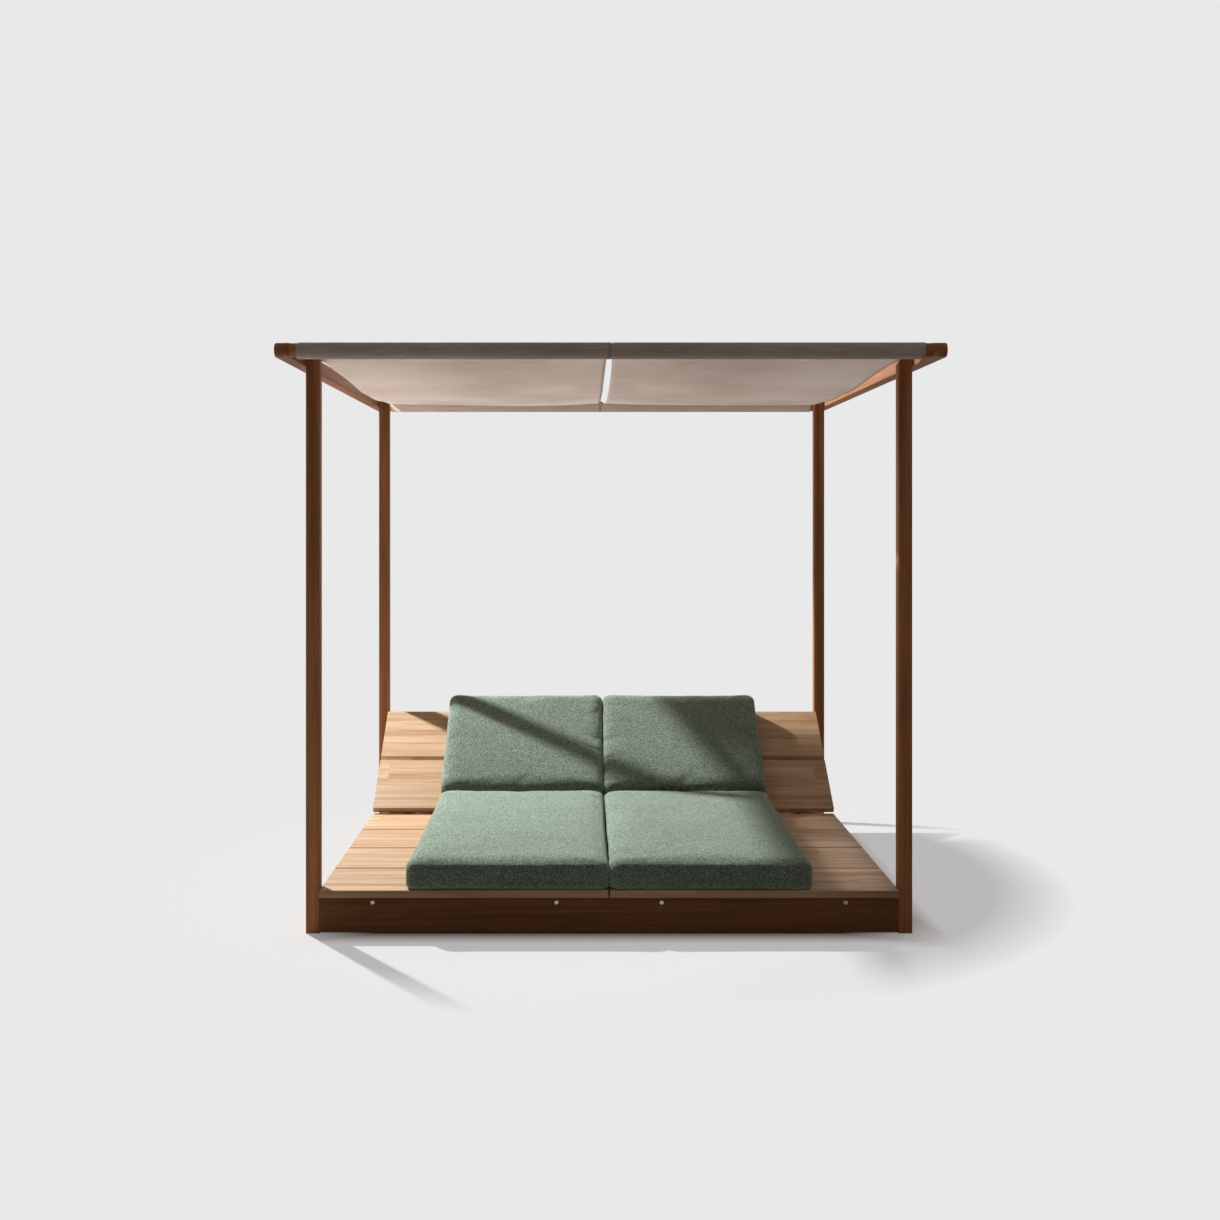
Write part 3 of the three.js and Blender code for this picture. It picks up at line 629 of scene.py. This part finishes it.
def swell(blank):
    """Fills the cushion with air pressure. No point moves further than the cap."""
    start = [vertex.co.copy() for vertex in blank.data.vertices]
    cloth = blank.modifiers.new("fill", "CLOTH")
    for key, value in FILLING.items():
        setattr(cloth.settings, key, value)
    cloth.settings.effector_weights.gravity = 0
    cloth.point_cache.frame_start = 1
    cloth.point_cache.frame_end = FILLING_STEPS
    scene = bpy.context.scene
    for step in range(1, FILLING_STEPS + 1):
        scene.frame_set(step)
    applied(blank)
    scene.frame_set(1)
    for vertex, rest in zip(blank.data.vertices, start):
        move = vertex.co - rest
        if move.length > SWELL_CAP:
            vertex.co = rest + move * (SWELL_CAP / move.length)


def fit_to_size(blank, length):
    """Brings the filled cushion back to its width, length and height over the crown."""
    points = [vertex.co for vertex in blank.data.vertices]
    spans = [max(p[i] for p in points) - min(p[i] for p in points) for i in (X, Y)]
    top = max(p.z for p in points)
    for point in points:
        point.x *= CUSHION_WIDTH / spans[X]
        point.y *= length / spans[Y]
        point.z *= CUSHION_CROWN_HEIGHT / top if point.z > 0 else 1.0


def side_dents(place, length, seed):
    """Short creases that run inwards from the long sides, as a filled cover puckers there."""
    depth = 0.0
    for i in range(DENT_COUNT):
        chance = noise_at((seed, i, 1), DENT_DRAW)
        side = 1 if chance > 0 else -1
        centre = (i / (DENT_COUNT - 1) - 0.5) * length * DENT_SPREAD + chance * DENT_STRAY
        inward = CUSHION_WIDTH / 2 - side * place.x
        along = (place.y - centre - inward * chance * DENT_SLANT) / DENT_WIDTH
        fading = math.exp(-along * along) * math.exp(-((inward / DENT_REACH) ** 2))
        depth += fading * (DENT_LEAST + abs(chance))
    return depth


def finish_cover(blank, length, seed):
    """Relaxes and refines the cover, adds its wrinkles and sets its base flat."""
    smooth = blank.modifiers.new("relax", "SMOOTH")
    smooth.factor = 0.5
    smooth.iterations = 2
    finer = blank.modifiers.new("finer", "SUBSURF")
    finer.levels = finer.render_levels = 1
    applied(blank)
    fit_to_size(blank, length)
    mesh = blank.data
    normals = [vertex.normal.copy() for vertex in mesh.vertices]
    shift = Vector([seed * part for part in COVER_SHIFT])
    for vertex, normal in zip(mesh.vertices, normals):
        place = vertex.co
        broad = noise.noise(place * BROAD_WRINKLE_COUNT + shift)
        stretched = Vector([part * n for part, n in zip(place, FINE_WRINKLE_COUNTS)])
        fine = noise.noise(stretched + shift)
        wrinkle = WRINKLE_HEIGHT * (broad + FINE_WRINKLE_SHARE * fine)
        vertex.co = place + normal * (wrinkle - DENT_DEPTH * side_dents(place, length, seed))
        vertex.co.x = max(-CUSHION_SIDE_LIMIT, min(CUSHION_SIDE_LIMIT, vertex.co.x))
        vertex.co.z = max(vertex.co.z, 0.0)
    shade_smooth(mesh)


def make_cushion(name, length, tops, seed, material):
    blank = cushion_blank(name, length, tops)
    swell(blank)
    finish_cover(blank, length, seed)
    return dress(blank, material)


def add_cushions(side, sign, seed):
    """A seat cushion on the deck and a back cushion, drawn flat about the pivot and then raised."""
    tops = (CUSHION_FRONT_HEIGHT, CUSHION_REAR_HEIGHT)
    seat = make_cushion(f"seat_pad_{side}", SEAT_REAR - SEAT_FRONT, tops, seed, seat_boucle)
    place = (sign * CUSHION_CENTRE, (SEAT_FRONT + SEAT_REAR) / 2, DECK_TOP + CUSHION_ABOVE_DECK)
    seat.data.transform(Matrix.Translation(place))
    tops = (CUSHION_REAR_HEIGHT, CUSHION_REAR_HEIGHT)
    length = BACK_PAD_END - BACK_PAD_START
    back = make_cushion(f"back_pad_{side}", length, tops, seed + BACK_SEED_SHIFT, back_boucle)
    above = DECK_TOP - PIVOT.z + CUSHION_ABOVE_DECK
    place = (sign * (CUSHION_CENTRE - MODULE_CENTRE), (BACK_PAD_START + BACK_PAD_END) / 2, above)
    back.data.transform(Matrix.Translation(place))
    hinge = Matrix.Translation(PIVOT + Vector((sign * MODULE_CENTRE, 0, 0)))
    back.data.transform(hinge @ Matrix.Rotation(REST_TILT, 4, "X"))
    for cushion, body, node in (
        (seat, "frame", f"seat_cushion_{side}"), (back, f"back_{side}", f"back_cushion_{side}"),
    ):
        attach(cushion, body)
        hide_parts(node)


for seed, (side, sign) in enumerate(SIDES, 1):
    add_cushions(side, sign, seed)


# Canopy panels

CANVAS_THICKNESS = 0.0016
CANVAS_OFF_BAR = 0.0016
CANVAS_OVER_BAR = 0.002
CANVAS_SAG = 0.076
SEAM_Y = 1.135
SEAM_DROP = 0.004
POCKET_DROOP = 0.010
POCKET_STEPS = 14
BAR_STEPS = 16
SHEET_STEPS = 96
PANEL_COLUMNS = 64
FREE_REACH = 0.12
PANEL_WIDTH = 1.03
OUTER_EDGE = 1.032
OUTER_EDGE_DRAW = 0.062
INNER_EDGE = 0.0006
INNER_EDGE_DRAW = 0.0114
FOLD_COUNTS = (1.6, 2.4, 5.0)
FOLD_HEIGHT = 0.006
BELLY_DEPTH = 0.006
SLIT_REACH = 0.07
SLIT_CURL = 0.004
SLIT_WAVE = 0.005
SIDE_REACH = 0.06
SIDE_WAVE = 0.004
WAVE_COUNTS = (3.2, 2.0, 4.0)


def sheet_height(y):
    return BAR_Z + BAR_RADIUS + CANVAS_OVER_BAR - CANVAS_SAG * (1 - (y / BAR_Y) ** 2)


def canvas_path():
    """Stations along the cloth's length from the rear seam, under and round the rear bar, over to
    the front bar and back to the front seam. Each holds the distance along the cloth, Y, Z and a
    share that says how far the cloth is free of the bars."""
    radius = BAR_RADIUS + CANVAS_OFF_BAR
    seam_z = sheet_height(SEAM_Y) - SEAM_DROP
    bar_z = BAR_Z - radius
    droop = min(seam_z, bar_z) - POCKET_DROOP
    rear = []
    for i in range(POCKET_STEPS):
        t = i / POCKET_STEPS
        y = SEAM_Y + (BAR_Y - SEAM_Y) * t
        z = (1 - t) ** 2 * seam_z + 2 * t * (1 - t) * droop + t * t * bar_z
        rear.append((y, z, 0.0))
    for i in range(BAR_STEPS + 1):
        angle = -math.pi / 2 + math.pi * i / BAR_STEPS
        rear.append((BAR_Y + radius * math.cos(angle), BAR_Z + radius * math.sin(angle), 0.0))
    middle = []
    for i in range(1, SHEET_STEPS):
        y = BAR_Y - 2 * BAR_Y * i / SHEET_STEPS
        free = min(1.0, max(0.0, (BAR_Y - abs(y)) / FREE_REACH))
        middle.append((y, sheet_height(y), free))
    front = [(-y, z, free) for y, z, free in reversed(rear)]
    path = rear + middle + front
    run, stations = 0.0, []
    for i, (y, z, free) in enumerate(path):
        if i:
            run += math.hypot(y - path[i - 1][0], z - path[i - 1][1])
        stations.append((run, y, z, free))
    return stations


def canvas_edges(y, free):
    """The inner and outer edge of a panel at a depth: straight on the bars, drawn in between."""
    u = min(abs(y) / SEAM_Y, 1.0)
    drawn = 1.0 if free else 0.0
    outer = OUTER_EDGE - OUTER_EDGE_DRAW * (1 - u**4) * drawn
    inner = INNER_EDGE + INNER_EDGE_DRAW * (1 - u**8) * drawn
    return inner, outer


def flutter(x, y, share, free, sign):
    """How far the free sheet lifts off its plain curve: soft cross folds and curling edges."""
    soft = noise_at((x, y, sign), FOLD_COUNTS) * FOLD_HEIGHT
    near_slit = math.exp(-share / SLIT_REACH)
    near_side = math.exp(-(1 - share) / SIDE_REACH)
    wave = noise_at((y, sign, 1), WAVE_COUNTS)
    curl = near_slit * (SLIT_CURL + SLIT_WAVE * wave) + near_side * SIDE_WAVE * wave
    belly = -BELLY_DEPTH * math.sin(math.pi * share)
    return free * (soft + curl + belly)


def add_canopy_panel(side, sign):
    """One cloth with a pocket round each bar. Its UV map is its flat cut, in metres."""
    stations = canvas_path()
    rows = len(stations) - 1
    bm = bmesh.new()
    bmesh.ops.create_grid(bm, x_segments=PANEL_COLUMNS, y_segments=rows, size=0.5)
    bm.verts.ensure_lookup_table()
    uv = bm.loops.layers.uv.new("cut")
    cut = {}
    for vertex in bm.verts:
        share = vertex.co.x + 0.5
        run, y, z, free = stations[round((vertex.co.y + 0.5) * rows)]
        inner, outer = canvas_edges(y, free)
        x = inner + (outer - inner) * share
        cut[vertex.index] = (share * PANEL_WIDTH, run)
        vertex.co = Vector((sign * x, y, z + flutter(x, y, share, free, sign)))
    for face in bm.faces:
        for loop in face.loops:
            loop[uv].uv = cut[loop.vert.index]
    bmesh.ops.recalc_face_normals(bm, faces=bm.faces)
    name = f"canopy_panel_{side}"
    panel = piece_from(bm, name, canopy_cloth, "frame", f"canopy_canvas_{side}")
    wall = panel.modifiers.new("cloth", "SOLIDIFY")
    wall.thickness = CANVAS_THICKNESS
    wall.offset = 0
    applied(panel)
    shade_smooth(panel.data)


for side, sign in SIDES:
    add_canopy_panel(side, sign)


# Bars and beams

BAR_SEGMENTS = 48
BAR_END_GAP = 0.0002
BAR_SHARP_ANGLE = math.radians(40)
BEAM_END_STEPS = 14
BEAM_END_FLAT = 0.0004
BEAM_RIM = 0.0025
BEAM_RIM_STEPS = 3
BEAM_RIM_ANGLE = 1.2
BEAM_SHARP_ANGLE = math.radians(35)


def add_bar(end, sign):
    """The middle of a bar, finely turned, in place of the faceted one."""
    bm = bmesh.new()
    bmesh.ops.create_circle(bm, cap_ends=False, radius=BAR_RADIUS, segments=BAR_SEGMENTS)
    lying = Matrix.Rotation(math.pi / 2, 3, "Y")
    bmesh.ops.rotate(bm, cent=(0, 0, 0), matrix=lying, verts=bm.verts)
    start = (-POST_OUTER + BAR_END_GAP, sign * BAR_Y, BAR_Z)
    bmesh.ops.translate(bm, vec=start, verts=bm.verts)
    grown = bmesh.ops.extrude_edge_only(bm, edges=bm.edges[:])
    far_end = [item for item in grown["geom"] if isinstance(item, bmesh.types.BMVert)]
    bmesh.ops.translate(bm, vec=(2 * POST_OUTER - 2 * BAR_END_GAP, 0, 0), verts=far_end)
    bmesh.ops.holes_fill(bm, edges=bm.edges, sides=0)
    bmesh.ops.recalc_face_normals(bm, faces=bm.faces)
    bar = piece_from(bm, f"turned_bar_{end}", bar_wood, "frame", f"canopy_bar_{end}")
    bar.data.set_sharp_from_angle(angle=BAR_SHARP_ANGLE)


def add_beam(side):
    """A side beam with half-round ends and eased edges."""
    low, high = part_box(f"side_beam_{side}")
    bm = bmesh.new()
    bmesh.ops.create_cube(bm, size=1.0)
    bmesh.ops.scale(bm, vec=high - low, verts=bm.verts)
    bmesh.ops.translate(bm, vec=(low + high) / 2, verts=bm.verts)
    bevel = {"profile": 0.5, "affect": "EDGES", "material": -1}
    radius = (high.z - low.z) / 2 - BEAM_END_FLAT
    tips = edges_along(bm, X)
    bmesh.ops.bevel(bm, geom=tips, offset=radius, segments=BEAM_END_STEPS, **bevel)
    bm.normal_update()
    rims = [
        edge for edge in bm.edges
        if len(edge.link_faces) == 2 and edge.calc_face_angle(0.0) > BEAM_RIM_ANGLE
    ]
    bmesh.ops.bevel(bm, geom=rims, offset=BEAM_RIM, segments=BEAM_RIM_STEPS, **bevel)
    beam = piece_from(bm, f"eased_beam_{side}", beam_wood, "frame", f"side_beam_{side}")
    beam.data.set_sharp_from_angle(angle=BEAM_SHARP_ANGLE)


for end, sign in ENDS:
    add_bar(end, sign)
for side, _ in SIDES:
    add_beam(side)


# Camera, floor and light

CAMERA = {
    "lens": 43.8, "sensor_width": 36.0, "shift_x": 0.0238, "shift_y": -0.0754, "clip_end": 100.0,
}
CAMERA_PLACE = (-0.0978, -6.122, 1.4449)
PALE = srgb(233, 233, 233)
AMBIENT = 0.155
WARMTH = (1.0, 0.93, 0.85, 1.0)
KEY_PLACE = Vector((-3.0, 1.95, 3.9))
KEY_TARGET = Vector((0.0, 0.0, 0.3))
KEY_SIZE = 0.14
KEY_POWER = 410.0
FLOOR_RADIUS = 40.0
FLOOR_SEGMENTS = 96
FLOOR_DROP = 0.0005
FLOOR_FADE = (1.25, 1.85)
PALEST_FLOOR = 0.95
BOUNCE_SPAN = (-1.3, -0.5)
FRONT_BOUNCE = 0.46
REAR_BOUNCE = 0.85
SHADOW_RELIEF = 0.5
RELIEF_REACH = 0.12


def add_camera():
    """The photograph's camera: level, and square to the front."""
    data = bpy.data.cameras.new("camera")
    for key, value in CAMERA.items():
        setattr(data, key, value)
    camera = placed("camera", data)
    camera.location = CAMERA_PLACE
    camera.rotation_euler = (math.pi / 2, 0, 0)
    bpy.context.scene.camera = camera


def floor_material():
    """Pale paint whose colour follows the fall of the key light, so that the lit floor is as pale
    as the backdrop. It fades to the backdrop further out, and in part beside the frame."""
    material, w = new_material("pale_floor")
    place = w.place()
    to_key = w.vector("SUBTRACT", tuple(KEY_PLACE), place)
    aim = tuple((KEY_PLACE - KEY_TARGET).normalized())
    inputs = {0: to_key, 1: aim}
    facing = w.add("ShaderNodeVectorMath", inputs, operation="DOT_PRODUCT").outputs["Value"]
    strength = KEY_POWER * KEY_PLACE.z / math.pi**2
    # Twice for the spread, and once each for the slant at the lamp and at the floor
    falloff = w.math("POWER", w.length(to_key), 4.0)
    key = w.math("DIVIDE", w.math("MULTIPLY", facing, strength), falloff)
    albedo = w.math("DIVIDE", PALE[0], w.math("ADD", key, AMBIENT))
    albedo = w.math("MINIMUM", albedo, PALEST_FLOOR)
    path = w.add("ShaderNodeLightPath").outputs
    shown = w.math("MAXIMUM", path["Is Camera Ray"], path["Is Glossy Ray"])
    x, y, _ = w.parted(place)
    bounce = w.span(y, *BOUNCE_SPAN, FRONT_BOUNCE, REAR_BOUNCE)
    warm_bounce = w.mix(1.0, w.grey(bounce), WARMTH, "MULTIPLY")
    colour = w.mix(shown, warm_bounce, w.grey(albedo))
    beyond_side = w.math("SUBTRACT", w.math("ABSOLUTE", x), POST_OUTER)
    beyond_end = w.math("SUBTRACT", w.math("ABSOLUTE", y), FRAME_HALF_DEPTH)
    beyond = w.math("MAXIMUM", beyond_side, beyond_end)
    relief = w.span(beyond, 0.0, RELIEF_REACH, 0.0, SHADOW_RELIEF)
    fade = w.math("MAXIMUM", w.span(w.length(place), *FLOOR_FADE), relief)
    seen = w.math("MULTIPLY", path["Is Camera Ray"], fade)
    matt = w.add("ShaderNodeBsdfDiffuse", {"Color": colour}).outputs[0]
    glow = w.add("ShaderNodeEmission", {"Color": PALE, "Strength": 1.0}).outputs[0]
    w.surface(w.blended(seen, matt, glow))
    return material


def add_floor():
    bm = bmesh.new()
    bmesh.ops.create_circle(bm, cap_ends=True, radius=FLOOR_RADIUS, segments=FLOOR_SEGMENTS)
    bmesh.ops.translate(bm, vec=(0, 0, -FLOOR_DROP), verts=bm.verts)
    floor = object_from(bm, "floor")
    floor.data.materials.append(floor_material())


def add_world():
    """Soft warm light all round, which the camera and reflections see as the pale backdrop."""
    world = bpy.data.worlds.new("studio")
    bpy.context.scene.world = world
    world.use_nodes = True
    world.node_tree.nodes.clear()
    w = Wires(world.node_tree)
    path = w.add("ShaderNodeLightPath").outputs
    mirrored = w.math("MAXIMUM", path["Is Glossy Ray"], path["Is Transmission Ray"])
    seen = w.math("MAXIMUM", path["Is Camera Ray"], mirrored)
    soft = w.add("ShaderNodeBackground", {"Color": WARMTH, "Strength": AMBIENT}).outputs[0]
    pale = w.add("ShaderNodeBackground", {"Color": PALE, "Strength": 1.0}).outputs[0]
    w.surface(w.blended(seen, soft, pale), "ShaderNodeOutputWorld")


def add_key_light():
    lamp = bpy.data.lights.new("key", "AREA")
    lamp.shape = "DISK"
    lamp.size = KEY_SIZE
    lamp.energy = KEY_POWER
    key = placed("key", lamp)
    key.location = KEY_PLACE
    key.rotation_euler = (KEY_TARGET - KEY_PLACE).to_track_quat("-Z", "Y").to_euler()
    key.visible_camera = False


add_camera()
add_floor()
add_world()
add_key_light()
bpy.context.scene.view_settings.view_transform = "Standard"
